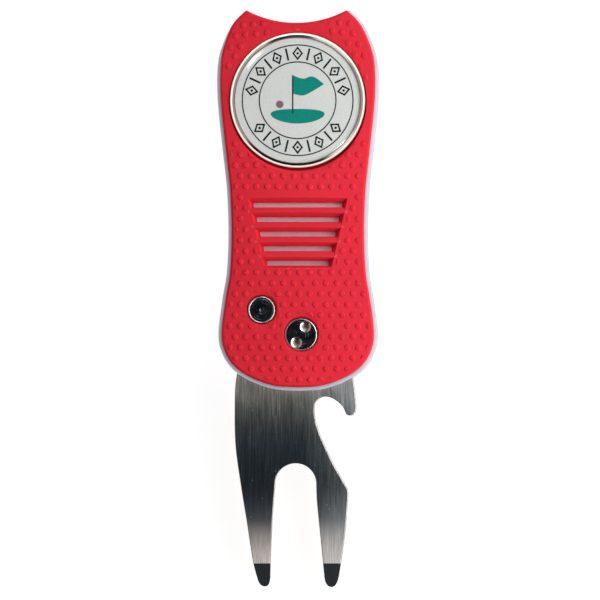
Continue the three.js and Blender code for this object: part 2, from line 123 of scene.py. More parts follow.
DIMPLE_PITCH, DIMPLE_ROW = 1.98, 1.985
DIMPLE_FROM = (-9.62, 27.4)
DIMPLE_R, DIMPLE_HEIGHT = 0.53, 0.165
EAR_ROWS = {  # heights at EAR_FROM, and how far out each dimple is, by side
    -1: [(57.5, (6.4, 8.2, 10.1)), (55.7, (5.7, 7.7, 9.7, 11.5)), (53.7, (10.6, 12.5)), (51.9, (11.6,)),
         (50.2, (12.8,))],
    1: [(57.7, (5.9, 7.7, 9.6)), (56.0, (6.4, 8.2, 10.2)), (54.1, (9.3, 11.3)), (52.1, (10.5, 12.3)),
        (50.0, (11.5,)), (48.1, (12.5,))],
}
EAR_FROM, EAR_SLOPE = 8, -0.1

TICK, TICK_WIDTH = (0.34, 0.2), 0.09  # pale chevrons of moulding flash
TICK_SUNK, TICK_PROUD = 0.04, 0.03

CAVITY_Z = (4.5, 7.0)
POCKET_Z = 9.7  # the front cover reaches down to here round the marker and under the slots
SEAT_Z = 10.0
SHELL_BORE_R, FORK_BORE_R = 2.8, 2.6  # round the pivot; the washers have the fork's
HEAD_RECESS_R = 3.3
MAGNET_HOLE_R, MAGNET_FLOOR_Z = 5.2, 8.5
NOTCH_R = 3.15  # round the button's lock cylinder
SPRING_R, SPRING_WIRE = 4.1, 0.2
SPRING_POCKET_R, SPRING_POCKET_TOP = 4.95, 8.5
SCREW_HOLE_R, SCREW_HEAD_HOLE_R, SCREW_HEAD_TOP = 1.2, 1.9, 2.875
SPANNER_OUT, SPANNER_TURN, REAR_SPANNER_TURN = 1.675, math.radians(60), math.radians(15)
THROUGH_Z = 11  # past the front shell's face

# ------------------------------------------------------------------ shapes: (vertices, faces)


def spline(points, steps):
    """Uniform Catmull-Rom curve through points, with its ends held."""
    out = []
    for k in range(steps + 1):
        at = (len(points) - 1) * k / steps
        i = min(int(at), len(points) - 2)
        t = at - i
        p0, p1, p2, p3 = (points[max(0, min(len(points) - 1, i + d))] for d in (-1, 0, 1, 2))
        xy = []
        for a, b, c, d in zip(p0, p1, p2, p3):
            v0, v1 = (c - a) / 2, (d - b) / 2
            xy.append((2 * b - 2 * c + v0 + v1) * t**3 + (3 * c - 3 * b - 2 * v0 - v1) * t * t + v0 * t + b)
        out.append(tuple(xy))
    return out


def arc(cx, cy, r, start, end, steps):
    angles = [start + (end - start) * i / steps for i in range(steps + 1)]
    return [(cx + r * math.cos(a), cy + r * math.sin(a)) for a in angles]


def around(at, r, angle):
    return at[0] + r * math.cos(angle), at[1] + r * math.sin(angle)


def bend(a, corner, b, steps=6):
    """Quadratic curve from a to b, pulled to the corner."""
    out = []
    for i in range(steps + 1):
        t = i / steps
        w = ((1 - t) ** 2, 2 * t * (1 - t), t * t)
        out.append(tuple(w[0] * p + w[1] * q + w[2] * r for p, q, r in zip(a, corner, b)))
    return out


def moved_in(points, distance, closed=True):
    """A counter-clockwise outline moved inwards along its normals."""
    out = []
    n = len(points)
    for i, (x, y) in enumerate(points):
        before = points[i - 1] if closed or i else points[i]
        after = points[(i + 1) % n] if closed or i + 1 < n else points[i]
        along = Vector((after[0] - before[0], after[1] - before[1])).normalized()
        out.append((x - along.y * distance, y + along.x * distance))
    return out


def handle_outline(inset=0.0, top_drop=0.0, step=0.0):
    """The handle's outline, counter-clockwise from the bottom. The inset fades towards the ear tips."""
    arc_r = ARC_R + top_drop + step
    curve = spline(SIDE, SIDE_STEPS)
    near, far = moved_in(curve, step, closed=False), moved_in(curve, step + inset, closed=False)
    side = []
    for (x, y), a, b in zip(curve, near, far):
        full = 1 - 0.7 * min(1, max(0, (y - 50) / 10))
        side.append(tuple(p + (q - p) * full for p, q in zip(a, b)))
    side[0] = (0.0, side[0][1])
    gaps = [math.hypot(x, y - ARC_Y) - arc_r - TIP_ROUNDING for x, y in side]
    last = next(i for i, gap in enumerate(gaps) if gap < 0)
    cut = last - 1 + gaps[last - 1] / (gaps[last - 1] - gaps[last])
    right = []
    for i in range(SIDE_STEPS + 1):  # the same count of points at every inset
        at = cut * i / SIDE_STEPS
        k = min(int(at), len(side) - 2)
        right.append(tuple(a + (b - a) * (at - k) for a, b in zip(side[k], side[k + 1])))
    start = math.atan2(right[-1][1] - ARC_Y, right[-1][0])
    tip_turn = TIP_ROUNDING / arc_r
    top = arc(0, ARC_Y, arc_r, start - 2 * tip_turn, -math.pi / 2, ARC_STEPS)
    corner = (arc_r * math.cos(start - tip_turn), ARC_Y + arc_r * math.sin(start - tip_turn))
    right = right[:-1] + bend(right[-1], corner, top[0]) + top[1:]
    left = [(-x, y) for x, y in reversed(right[1:-1])]
    return right + left


def skin(rings):
    """A solid between rings of one point count, closed at both ends."""
    n = len(rings[0])
    faces = [tuple(reversed(range(n)))]
    for k in range(len(rings) - 1):
        for i in range(n):
            a, b = k * n + i, k * n + (i + 1) % n
            faces.append((a, b, b + n, a + n))
    faces.append(tuple(range((len(rings) - 1) * n, len(rings) * n)))
    return [point for ring_points in rings for point in ring_points], faces


def loft(levels):
    """A solid between outlines of one point count, given as (z, points) from one end to the other."""
    return skin([[(x, y, z) for x, y in points] for z, points in levels])


def prism(points, z0, z1):
    return loft([(z0, points), (z1, points)])


def ruled(vertices):
    """A solid between two like sections, given one after the other."""
    n = len(vertices) // 2
    faces = [tuple(range(n)), tuple(reversed(range(n, 2 * n)))]
    faces += [(i, (i + 1) % n, n + (i + 1) % n, n + i) for i in range(n)]
    return vertices, faces


def block(x0, x1, y0, y1, z0, z1):
    return prism([(x0, y0), (x1, y0), (x1, y1), (x0, y1)], z0, z1)


def turned(profile, at, sides=96):
    """A solid of revolution about a vertical axis; the profile of (r, z) starts and ends on it."""
    vertices, faces, rings = [], [], []
    for r, z in profile:
        if r < 1e-9:
            rings.append([len(vertices)])
            vertices.append((at[0], at[1], z))
        else:
            rings.append(list(range(len(vertices), len(vertices) + sides)))
            vertices += [(*p, z) for p in arc(*at, r, 0, 2 * math.pi, sides)[:-1]]
    for low, high in zip(rings, rings[1:]):
        for i in range(sides):
            j = (i + 1) % sides
            quad = (low[i % len(low)], low[j % len(low)], high[j % len(high)], high[i % len(high)])
            face = tuple(dict.fromkeys(quad))
            if len(face) > 2:
                faces.append(face)
    return vertices, faces


def disc(at, r, z0, z1, sides=96):
    return turned([(0, z0), (r, z0), (r, z1), (0, z1)], at, sides)


def tube(points, r, sides=12):
    """A round wire along points, closed at both ends."""
    points = [Vector(p) for p in points]
    circle = arc(0, 0, 1, 0, 2 * math.pi, sides)[:-1]
    rings = []
    side = Vector((0, 0, 1)).cross(points[1] - points[0])
    side = side.normalized() if side.length > 1e-6 else Vector((1, 0, 0))
    for i, p in enumerate(points):
        along = (points[min(i + 1, len(points) - 1)] - points[max(i - 1, 0)]).normalized()
        side = (side - along * side.dot(along)).normalized()
        up = along.cross(side)
        rings.append([tuple(p + (side * x + up * y) * r) for x, y in circle])
    return skin(rings)


def joined(shapes):
    """Several separate shapes as one."""
    vertices, faces = [], []
    for more_vertices, more_faces in shapes:
        start = len(vertices)
        vertices += more_vertices
        faces += [tuple(i + start for i in face) for face in more_faces]
    return vertices, faces


def flat_stroke(points, width, z0, z1):
    """Bars of one width along points."""
    points = [Vector(p) for p in points]
    for a, b in zip(points, points[1:]):
        along = (b - a).normalized() * width / 2
        side = Vector((-along.y, along.x))
        quad = [a - along - side, b + along - side, b + along + side, a - along + side]
        yield prism([tuple(p) for p in quad], z0, z1)


# ------------------------------------------------------------------ meshes and pieces


def mesh_of(shape):
    """A mesh with its large faces split, so that holes cut in them later leave only small faces."""
    mesh = bpy.data.meshes.new("shape")
    mesh.from_pydata(shape[0], [], shape[1])
    bm = bmesh.new()
    bm.from_mesh(mesh)
    large = [face for face in bm.faces if len(face.verts) > 16]
    bmesh.ops.triangulate(bm, faces=large, ngon_method="EAR_CLIP")
    bmesh.ops.recalc_face_normals(bm, faces=bm.faces)
    bm.to_mesh(mesh)
    bm.free()
    return mesh


def boolean(mesh, tool, operation="DIFFERENCE"):
    """The mesh with a tool shape or mesh cut from it, added to it or shared with it."""
    a = bpy.data.objects.new("a", mesh)
    b = bpy.data.objects.new("b", tool if isinstance(tool, bpy.types.Mesh) else mesh_of(tool))
    for o in (a, b):
        bpy.context.scene.collection.objects.link(o)
    modifier = a.modifiers.new("tool", "BOOLEAN")
    modifier.object, modifier.operation, modifier.solver = b, operation, "MANIFOLD"
    graph = bpy.context.evaluated_depsgraph_get()
    out = bpy.data.meshes.new_from_object(a.evaluated_get(graph), depsgraph=graph)
    for o in (a, b):
        bpy.data.objects.remove(o)
    return out


def carved(shape, *tools):
    mesh = mesh_of(shape)
    for tool in tools:
        mesh = boolean(mesh, tool)
    return mesh


def finished(name, mesh, body, looks, nodes=(), sharp=32, tone=None):
    """A piece in the row frame: its materials, crisp shading, body and the nodes it stands for. tone picks
    each face's material by its centre, in the handle's frame, and its normal."""
    bm = bmesh.new()
    bm.from_mesh(mesh)
    bmesh.ops.remove_doubles(bm, verts=bm.verts, dist=1e-4)
    bm.to_mesh(mesh)
    bm.free()
    mesh.transform(Matrix.Scale(MM, 4) @ Matrix.Translation((0, SHIFT_Y, 0)))
    mesh.name = name
    mesh.materials.clear()
    for look in looks if isinstance(looks, (list, tuple)) else [looks]:
        mesh.materials.append(look)
    mesh.polygons.foreach_set("use_smooth", [True] * len(mesh.polygons))
    mesh.set_sharp_from_angle(angle=math.radians(sharp))
    for polygon in mesh.polygons if tone else ():
        centre = Vector(polygon.center) / MM
        centre.y -= SHIFT_Y
        polygon.material_index = int(tone(centre, polygon.normal))
    piece = bpy.data.objects.new(name, mesh)
    bpy.context.scene.collection.objects.link(piece)
    weighted = piece.modifiers.new("weighted_normals", "WEIGHTED_NORMAL")
    weighted.keep_sharp = True
    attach(piece, body)
    if nodes:
        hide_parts(*nodes)
    return piece


# ------------------------------------------------------------------ materials


def srgb(*rgb):
    """A colour given in 0 to 255 display values, as linear RGBA."""
    linear = [((v / 255 + 0.055) / 1.055) ** 2.4 if v > 10 else v / 255 / 12.92 for v in rgb]
    return (*linear, 1.0)


class Nodes:
    """Short ways to add nodes to a material's or a world's tree."""

    def __init__(self, tree):
        self.tree = tree

    def feed(self, socket, value):
        if isinstance(value, bpy.types.NodeSocket):
            self.tree.links.new(value, socket)
        else:
            socket.default_value = value

    def node(self, kind, **inputs):
        """A node with its inputs by name, or by number as in0, in1."""
        n = self.tree.nodes.new("ShaderNode" + kind)
        for key, value in inputs.items():
            self.feed(n.inputs[int(key[2:]) if key.startswith("in") else key.replace("_", " ")], value)
        return n

    def math(self, operation, a, b=0.0, clamp=False):
        n = self.node("Math", in0=a, in1=b)
        n.operation, n.use_clamp = operation, clamp
        return n.outputs[0]

    def times(self, a, b):
        return self.math("MULTIPLY", a, b)

    def axis(self, name, vector):
        return self.node("SeparateXYZ", Vector=vector).outputs[name]

    def between(self, value, low, high, start=0.0, end=1.0, smooth=False):
        """value from start to end spread over low to high."""
        n = self.node("MapRange", Value=value, From_Min=start, From_Max=end, To_Min=low, To_Max=high)
        n.interpolation_type = "SMOOTHSTEP" if smooth else "LINEAR"
        return n.outputs[0]


class Look(Nodes):
    """A Principled material."""

    def __init__(self, name, **values):
        self.material = bpy.data.materials.new(name)
        self.material.use_nodes = True
        super().__init__(self.material.node_tree)
        self.shader = self.tree.nodes["Principled BSDF"]
        for key, value in values.items():
            self.shader.inputs[key.replace("_", " ")].default_value = value

    def place(self, scale=(1, 1, 1), offset=(0, 0, 0)):
        """Object coordinates in millimetres, stretched."""
        place = self.node("Mapping", Vector=self.node("TexCoord").outputs["Object"])
        place.inputs["Scale"].default_value = [s / MM for s in scale]
        place.inputs["Location"].default_value = offset
        return place.outputs[0]

    def noise(self, scale, detail=2.0, rough=0.5, vector=None):
        n = self.node("TexNoise", Vector=vector or self.place(), Scale=scale, Detail=detail, Roughness=rough)
        return n.outputs["Fac"]

    def ramp(self, value, *stops, smooth=True):
        """Colours or numbers by value: stops of (position, colour)."""
        n = self.node("ValToRGB", Fac=value)
        ramp = n.color_ramp
        ramp.interpolation = "EASE" if smooth else "LINEAR"
        while len(ramp.elements) < len(stops):
            ramp.elements.new(0.5)
        for element, (position, colour) in zip(ramp.elements, stops):
            element.position = position
            element.color = colour if hasattr(colour, "__len__") else (colour, colour, colour, 1)
        return n.outputs["Color"]

    def mix(self, factor, a, b, blend="MIX"):
        n = self.node("Mix")
        n.data_type, n.blend_type = "RGBA", blend
        for socket, value in ((n.inputs[0], factor), (n.inputs[6], a), (n.inputs[7], b)):
            self.feed(socket, value)
        return n.outputs[2]

    def bump(self, height, distance, strength=1.0):
        n = self.node("Bump", Height=height, Strength=strength, Distance=distance * MM)
        self.set("Normal", n.outputs[0])

    def set(self, name, value):
        self.tree.links.new(value, self.shader.inputs[name])


def rubber_look():
    look = Look("red_rubber", Roughness=0.6, Specular_IOR_Level=0.25)
    patch = look.noise(0.06, 2)
    look.set("Base Color", look.ramp(patch, (0.25, srgb(209, 29, 47)), (0.75, srgb(217, 33, 51))))
    grain = look.noise(9, 3, 0.6)
    look.set("Roughness", look.between(look.noise(0.5, 3), 0.55, 0.7))
    look.bump(grain, 0.012, 0.6)
    return look.material


def plastic_look():
    look = Look("white_plastic", Roughness=0.3, Specular_IOR_Level=0.5)
    patch = look.noise(0.12, 2)
    look.set("Base Color", look.ramp(patch, (0.3, srgb(200, 201, 213)), (0.7, srgb(208, 209, 220))))
    look.set("Roughness", look.between(look.noise(1.2, 3), 0.26, 0.38))
    look.bump(look.noise(5, 2), 0.006, 0.5)
    return look.material


def fork_look():
    """Steel brushed lengthwise, with blackened tips. The dark and light bands along the front face are
    painted reflections, and the face's right side has a painted sheen, so they stay under any light."""
    look = Look("brushed_steel", Metallic=1.0, Roughness=0.32)
    x, y = look.axis("X", look.place()), look.axis("Y", look.place())
    fine = look.noise(1, 4, 0.8, look.place((6.5, 0.17, 1)))
    broad = look.noise(1, 2, 0.5, look.place((0.9, 0.04, 1)))
    grit = look.noise(1, 2, 0.5, look.place((5, 1.4, 1)))
    strokes = look.math("ADD", look.times(fine, 0.86), look.times(broad, 0.14))
    wander = look.times(look.math("SUBTRACT", strokes, 0.5), 8.0)
    along = look.math("ADD", y, wander)
    top, foot = -8.0 + SHIFT_Y, -43.0 + SHIFT_Y
    share = look.math("DIVIDE", look.math("SUBTRACT", along, foot), top - foot, clamp=True)
    # painted reflection: dark and light bands along the length, where the steel mirrors dark and bright
    # surroundings
    painted_reflection = look.ramp(
        share, (0.0, srgb(240, 232, 228)), (0.08, srgb(218, 208, 203)), (0.17, srgb(180, 173, 170)),
        (0.25, srgb(108, 110, 113)), (0.34, srgb(88, 95, 102)), (0.5, srgb(80, 92, 102)),
        (0.64, srgb(94, 106, 114)), (0.76, srgb(122, 129, 129)), (0.84, srgb(152, 155, 150)),
        (0.93, srgb(208, 205, 196)), (1.0, srgb(226, 222, 212)), smooth=False,
    )
    facing = look.axis("Z", look.node("NewGeometry").outputs["Normal"])
    front = look.math("GREATER_THAN", facing, 0.93)
    # painted sheen: the front face is lightened towards its right side
    to_right = look.math("DIVIDE", look.math("SUBTRACT", x, 1.0), 9.5, clamp=True)
    painted_right_sheen = look.times(to_right, look.ramp(share, (0.3, 0.42), (0.8, 0.75)))
    painted_reflection = look.mix(painted_right_sheen, painted_reflection, srgb(232, 240, 244), "LIGHTEN")
    edge_colour = srgb(160, 150, 140)
    colour = look.mix(front, edge_colour, painted_reflection)
    shade = look.ramp(strokes, (0.34, 0.5), (0.5, 0.95), (0.66, 1.5), smooth=False)
    colour = look.mix(0.9, colour, shade, "MULTIPLY")
    spots = look.node("TexVoronoi", Vector=look.place((1, 0.8, 1)), Scale=0.62)
    near = look.math("LESS_THAN", spots.outputs["Distance"], 0.09)
    cell = look.node("SeparateColor", Color=spots.outputs["Color"]).outputs[0]
    speck = look.times(near, look.math("GREATER_THAN", cell, 0.3))
    speck = look.times(speck, look.ramp(grit, (0.35, 0.1), (0.6, 0.75)))
    colour = look.mix(speck, colour, srgb(226, 220, 212))
    past_mark = look.math("LESS_THAN", y, TIP_GROUND_Y + SHIFT_Y)
    tip_mark = look.times(past_mark, look.math("GREATER_THAN", facing, 0.3))
    look.set("Base Color", look.mix(tip_mark, colour, srgb(60, 65, 67)))
    rough = look.ramp(share, (0.0, 0.62), (0.2, 0.5), (0.42, 0.27), (0.7, 0.27), (1.0, 0.4), smooth=False)
    uneven = look.times(look.math("SUBTRACT", fine, 0.5), 0.12)
    look.set("Roughness", look.math("ADD", rough, uneven))
    look.bump(strokes, 0.03, 0.5)
    return look.material


def dark_turned_look(name, at):
    """Dark polished steel with the broken rings a lathe leaves."""
    look = Look(name, Metallic=1.0, Roughness=0.2)
    place = look.place(offset=(-at[0], -at[1] - SHIFT_Y, 0))
    radius = look.node("VectorMath", in0=look.mix(1.0, place, (1, 1, 0, 1), "MULTIPLY"))
    radius.operation = "LENGTH"
    smear = look.noise(0.9, 3)
    out = look.times(radius.outputs["Value"], 13)
    rings = look.math("SINE", look.math("ADD", out, look.times(smear, 5)))
    broken = look.ramp(look.noise(0.7, 2, 0.5, look.place(offset=(7, 3, 0))), (0.5, 0.0), (0.66, 1.0))
    bright = look.times(look.ramp(rings, (0.55, 0.0), (1.0, 1.0)), broken)
    dark = look.ramp(smear, (0.3, srgb(40, 44, 54)), (0.7, srgb(78, 84, 94)))
    look.set("Base Color", look.mix(bright, dark, srgb(132, 136, 142)))
    look.set("Roughness", look.between(bright, 0.18, 0.42))
    look.bump(rings, 0.04, 0.5)
    return look.material


def metal_look(name, dark, light, low, high, grain=2.0, depth=0.004, metallic=1.0):
    look = Look(name, Metallic=metallic, Roughness=(low + high) / 2)
    smear = look.noise(grain, 3)
    look.set("Base Color", look.ramp(smear, (0.3, srgb(*dark)), (0.7, srgb(*light))))
    look.set("Roughness", look.between(look.noise(grain * 2.3, 2), low, high))
    look.bump(look.noise(grain * 6, 2), depth, 0.5)
    return look.material


def paint_look(name, dark, light, rough=0.45, grain=6.0, depth=0.003, shine=0.5):
    look = Look(name, Roughness=rough, Specular_IOR_Level=shine)
    look.set("Base Color", look.ramp(look.noise(grain, 3), (0.35, srgb(*dark)), (0.65, srgb(*light))))
    look.set("Roughness", look.between(look.noise(grain * 0.5, 2), rough - 0.08, rough + 0.08))
    look.bump(look.noise(grain * 2, 2), depth, 0.4)
    return look.material


def resin_look():
    """Clear resin: what is under it shows through, with a sharp gloss on top."""
    look = Look("clear_resin")
    clear = look.node("BsdfTransparent", Color=(0.993, 0.995, 0.993, 1))
    ripple = look.node("Bump", Height=look.noise(0.25, 1), Strength=0.3, Distance=0.02 * MM)
    gloss = look.node("BsdfGlossy", Roughness=0.1, Normal=ripple.outputs[0])
    outside = look.math("SUBTRACT", 1.0, look.node("NewGeometry").outputs["Backfacing"])
    share = look.times(look.node("Fresnel", IOR=1.5).outputs[0], outside)
    both = look.node("MixShader", in0=share, in1=clear.outputs[0], in2=gloss.outputs[0])
    look.tree.links.new(both.outputs[0], look.tree.nodes["Material Output"].inputs["Surface"])
    look.tree.nodes.remove(look.shader)
    return look.material


RUBBER = rubber_look()
FLASH = paint_look("mould_flash", (236, 84, 88), (246, 108, 108), 0.5, 4.0)
PLASTIC = plastic_look()
# white plastic tinted pink on the slot floors: painted red bounce light from the rubber walls
SLOT_FLOOR_RED_BOUNCE = paint_look("slot_floor_plastic", (240, 206, 220), (246, 214, 226), 0.4, 1.5)
FORK_STEEL = fork_look()
BUTTON_STEEL = dark_turned_look("dark_turned_button", BUTTON)
PIVOT_STEEL = dark_turned_look("dark_turned_pivot", PIVOT)
BRIGHT_STEEL = metal_look("bright_steel", (214, 208, 196), (236, 230, 218), 0.16, 0.3)
# bottoms of the spanner holes: rougher steel, darkened by painted shade
HOLE_SHADE_STEEL = metal_look("drilled_steel", (118, 116, 106), (150, 148, 136), 0.3, 0.45)
NICKEL = metal_look("nickel", (246, 232, 216), (252, 240, 226), 0.1, 0.16, 0.4, 0.001)
WORN_NICKEL = metal_look(  # hardly metallic, because the photograph's outer rim is cream all round
    "worn_nickel", (250, 240, 226), (255, 247, 236), 0.24, 0.34, 0.8, 0.002, metallic=0.12)
SPRING_STEEL = metal_look("spring_steel", (108, 108, 112), (140, 140, 143), 0.25, 0.4)
NYLON = paint_look("nylon", (224, 218, 204), (234, 229, 216), 0.5, 2.0)
CARD = paint_look("printed_card", (214, 215, 213), (220, 221, 219), 0.5, 3.0, shine=0.05)
DARK_INK = paint_look("dark_ink", (22, 42, 44), (36, 58, 58), 0.45, 8.0, shine=0.05)
GREEN_INK = paint_look("green_ink", (2, 128, 114), (18, 146, 132), 0.45, 9.0, shine=0.05)
ROSE_INK = paint_look("rose_ink", (128, 84, 104), (156, 112, 130), 0.45, 10.0, shine=0.05)
RESIN = resin_look()

# ------------------------------------------------------------------ handle


def rounded_edge(z, outline, r, up, steps=6):
    """Loft levels that round an outline's edge with radius r, ending flat at z."""
    levels = []
    for i in range(steps + 1):
        a = math.pi / 2 * i / steps
        step = r * (1 - math.cos(a))
        height = z - up * r * (1 - math.sin(a))
        levels.append((height, outline(step=step)))
    return levels


def fork_space():
    """The space between the shells, open at the bottom and the right."""
    wall_x, sweep_r = -10.2, 48
    top = math.acos((wall_x - PIVOT[0]) / sweep_r)
    points = [(wall_x, 0), *arc(*PIVOT, sweep_r, top, math.pi / 3, 60), (30, -20), (-20, -20), (-20, -5.9)]
    x, y = SCREWS[2]
    boss_r = 2.1
    boss = disc(SCREWS[2], boss_r, 4, 8, 48)
    rib = block(x - 2, x, y - boss_r, y + boss_r, 4, 8)
    return carved(prism(list(reversed(points)), *CAVITY_Z), boss, rib)


SCREWS = [tuple(middle(f"shell_screw_{i}"))[:2] for i in (1, 2, 3)]
SEAM_BEVEL, SHELL_EDGE_R = 0.12, 0.6


def slot_half(y):
    """Half width of the slots' outline at a height on the handle."""
    foot = LAST_SLOT_Y - 1.64
    share = (y - foot) / (SLOT_TOP_Y - foot)
    return SLOT_HALF[1] + (SLOT_HALF[0] - SLOT_HALF[1]) * share


def slot_frame(margin=0.5):
    """The outline round all the slots."""
    top, bottom = slot_half(SLOT_TOP_Y) + margin, slot_half(LAST_SLOT_FOOT) + margin
    high, low = SLOT_TOP_Y + margin, LAST_SLOT_FOOT - margin
    return [(-bottom, low), (bottom, low), (top, high), (-top, high)]


def front_shell():
    z0, z1 = FRONT_SHELL_Z
    seam = rounded_edge(z0, handle_outline, SEAM_BEVEL, -1, 2)[::-1]
    mesh = carved(
        loft(seam + rounded_edge(z1, handle_outline, SHELL_EDGE_R, 1)),
        fork_space(),
        disc(PIVOT, SHELL_BORE_R, 5, THROUGH_Z),
        disc(PIVOT, HEAD_RECESS_R, 10, THROUGH_Z),
        disc(PIVOT, SPRING_POCKET_R, 6, SPRING_POCKET_TOP),
        block(3.7, 6.7, -0.8, 0.8, 6.5, SPRING_POCKET_TOP),  # for the spring's outer end
        disc(BUTTON, BUTTON_HOLE_R, 5, THROUGH_Z),
        disc(SEAT, SEAT_R + 0.4, POCKET_Z, THROUGH_Z, 160),
        prism(slot_frame(), POCKET_Z, THROUGH_Z),
        disc(MARKER, MAGNET_HOLE_R, MAGNET_FLOOR_Z, THROUGH_Z),
        *[disc(at, SCREW_HOLE_R, 4.75, 9.05, 32) for at in SCREWS],
    )

    # the slot floors' faces, which take the painted red bounce light
    def in_slots(centre, normal):
        return abs(centre.z - POCKET_Z) < 0.01 and 10 < centre.y < 27

    return finished("front_shell_body", mesh, "handle", [PLASTIC, SLOT_FLOOR_RED_BOUNCE],
                    ["front_shell"], tone=in_slots)


def rear_shell():
    z0, z1 = REAR_SHELL_Z
    back = rounded_edge(z0, handle_outline, SHELL_EDGE_R, -1)[::-1]
    mesh = carved(
        loft(back + rounded_edge(z1, handle_outline, SEAM_BEVEL, 1, 2)),
        fork_space(),
        disc(PIVOT, SHELL_BORE_R, 0, 6),
        disc(PIVOT, HEAD_RECESS_R, 0, 2),
        disc(PIVOT, 4.5, 4, 6),  # for the rear washer
        disc(BUTTON, NOTCH_R, 2, 6),
        *[disc(at, SCREW_HOLE_R, 0, 6.75, 32) for at in SCREWS],
        *[disc(at, SCREW_HEAD_HOLE_R, 0, SCREW_HEAD_TOP, 32) for at in SCREWS],
    )
    return finished("rear_shell_body", mesh, "handle", PLASTIC, ["rear_shell"])


def slot_cutter(k, out_z, thick, up):
    """One slot: a steep upper wall, the shell's face as its floor, and a lower wall sloped up to a lip."""
    top = SLOT_TOP_Y - SLOT_PITCH * k
    last = k == SLOT_COUNT - 1
    lip = 1.95 if last else SLOT_PITCH - 0.14
    slope, foot = 0.94 - 0.07 * k, 1.8 - 0.06 * k  # the slots shorten towards the pivot
    section = [(0.12, -0.6), (0.0, 0.0), (0.06 - slope, min(thick, 1.3)), (-slope, thick),
               (-slope, thick + 0.5), (-foot, thick + 0.5), (-foot, min(thick, 1.1)), (-foot - 0.12, 0.5),
               (-lip, 0.0), (-lip - 0.25, -0.6)]
    vertices = []
    for side in (-1, 1):
        for dy, depth in section:
            half = slot_half(top + dy) - min(depth, thick) / thick  # the ends lean in by 1 mm
            vertices.append((side * half, top + dy, out_z - up * depth))
    return ruled(vertices)


def seat_cutter(out_z):
    """The marker's seat in the front cover, with a softened mouth."""
    lip, deep = 0.16, out_z - SEAT_Z
    wide = SEAT_R + lip + 0.4
    profile = [(0, deep), (SEAT_R, deep), (SEAT_R, lip * 1.4), (SEAT_R + lip * 0.3, lip * 0.45),
               (SEAT_R + lip, 0), (wide, -0.25), (wide, -2), (0, -2)]
    return turned([(radius, out_z - depth) for radius, depth in profile], SEAT, 160)


def fitted_hole(at, r, out_z, thick, up):
    """A hole that narrows below its mouth to fit closely round a steel part, worn a little to one side."""
    close, mouth = r - 0.2, r + 0.08
    centre = (at[0] + 0.04, at[1] + 0.12)
    levels = [(thick + 1, at, close), (0.9, at, close), (0.2, centre, mouth - 0.1),
              (0.06, centre, mouth - 0.04), (0, centre, mouth + 0.06), (-0.25, centre, mouth + 0.4),
              (-2, centre, mouth + 0.4)]
    return loft([(out_z - up * depth, arc(*middle_at, radius, 0, 2 * math.pi, 96)[:-1])
                 for depth, middle_at, radius in levels])


def crown(x):
    """How far a cover's face falls from the middle to x."""
    return CROWN_RISE * (x / CROWN_HALF) ** 2


def crowned_block(out_z, up):
    """Everything on the inner side of a cover's crowned face."""
    half, deep = 16, 4
    across = [-half + 2 * half * i / 128 for i in range(129)]
    section = [(x, out_z - up * crown(x)) for x in across]
    section += [(half, out_z - up * deep), (-half, out_z - up * deep)]
    return ruled([(x, y, z) for y in (-20, 70) for x, z in section])


def dimple_places():
    """A staggered grid up to the marker, then rows that lean with each ear."""
    places = []
    for row in range(-18, 5):
        y = DIMPLE_FROM[1] + row * DIMPLE_ROW
        for column in range(-3, 14):
            places.append((DIMPLE_FROM[0] + (column - 0.5 * (row % 2)) * DIMPLE_PITCH, y))
    for side, rows in EAR_ROWS.items():
        for y, reach in rows:
            places += [(side * x, y + EAR_SLOPE * (x - EAR_FROM)) for x in reach]
    return places


def dimple_field(out_z, up):
    """Low domes with steep sides over the whole face; the field is trimmed afterwards."""
    profile = [(0, -0.5), (1, -0.5), (1, 0), (0.97, 0.35), (0.91, 0.65), (0.81, 0.88), (0.64, 0.98), (0.3, 1),
               (0, 1)]
    shapes = []
    for x, y in dimple_places():
        foot = out_z - up * crown(x)
        scaled = [(r * DIMPLE_R, foot + up * h * DIMPLE_HEIGHT) for r, h in profile]
        shapes.append(turned(scaled, (x, y), 16))
    return joined(shapes)


def dimple_area(holes, z0, z1):
    """Where dimples may stand: inside the border, clear of the slots and the holes."""
    edge = handle_outline(GRIP_INSET, GRIP_TOP_DROP, 0.9)
    top, bottom = slot_half(SLOT_TOP_Y) + 0.9, slot_half(LAST_SLOT_FOOT) + 0.7
    high, low = SLOT_TOP_Y + 0.75, LAST_SLOT_FOOT - 0.15
    slots = [(top, high), (-top, high), (-bottom, low), (bottom, low)]
    mesh = carved(prism(edge, z0, z1), prism(slots, z0 - 1, z1 + 1))
    for at, r in holes:
        mesh = boolean(mesh, disc(at, r, z0 - 1, z1 + 1, 64))
    return mesh


def cover_outline(step=0.0):
    """A cover's outline: inside the handle's, and set a little to the left at the ears."""
    outline = handle_outline(GRIP_INSET, GRIP_TOP_DROP, step)
    return [(x - 0.24 * min(1, max(0, (y - 50) / 8)), y) for x, y in outline]


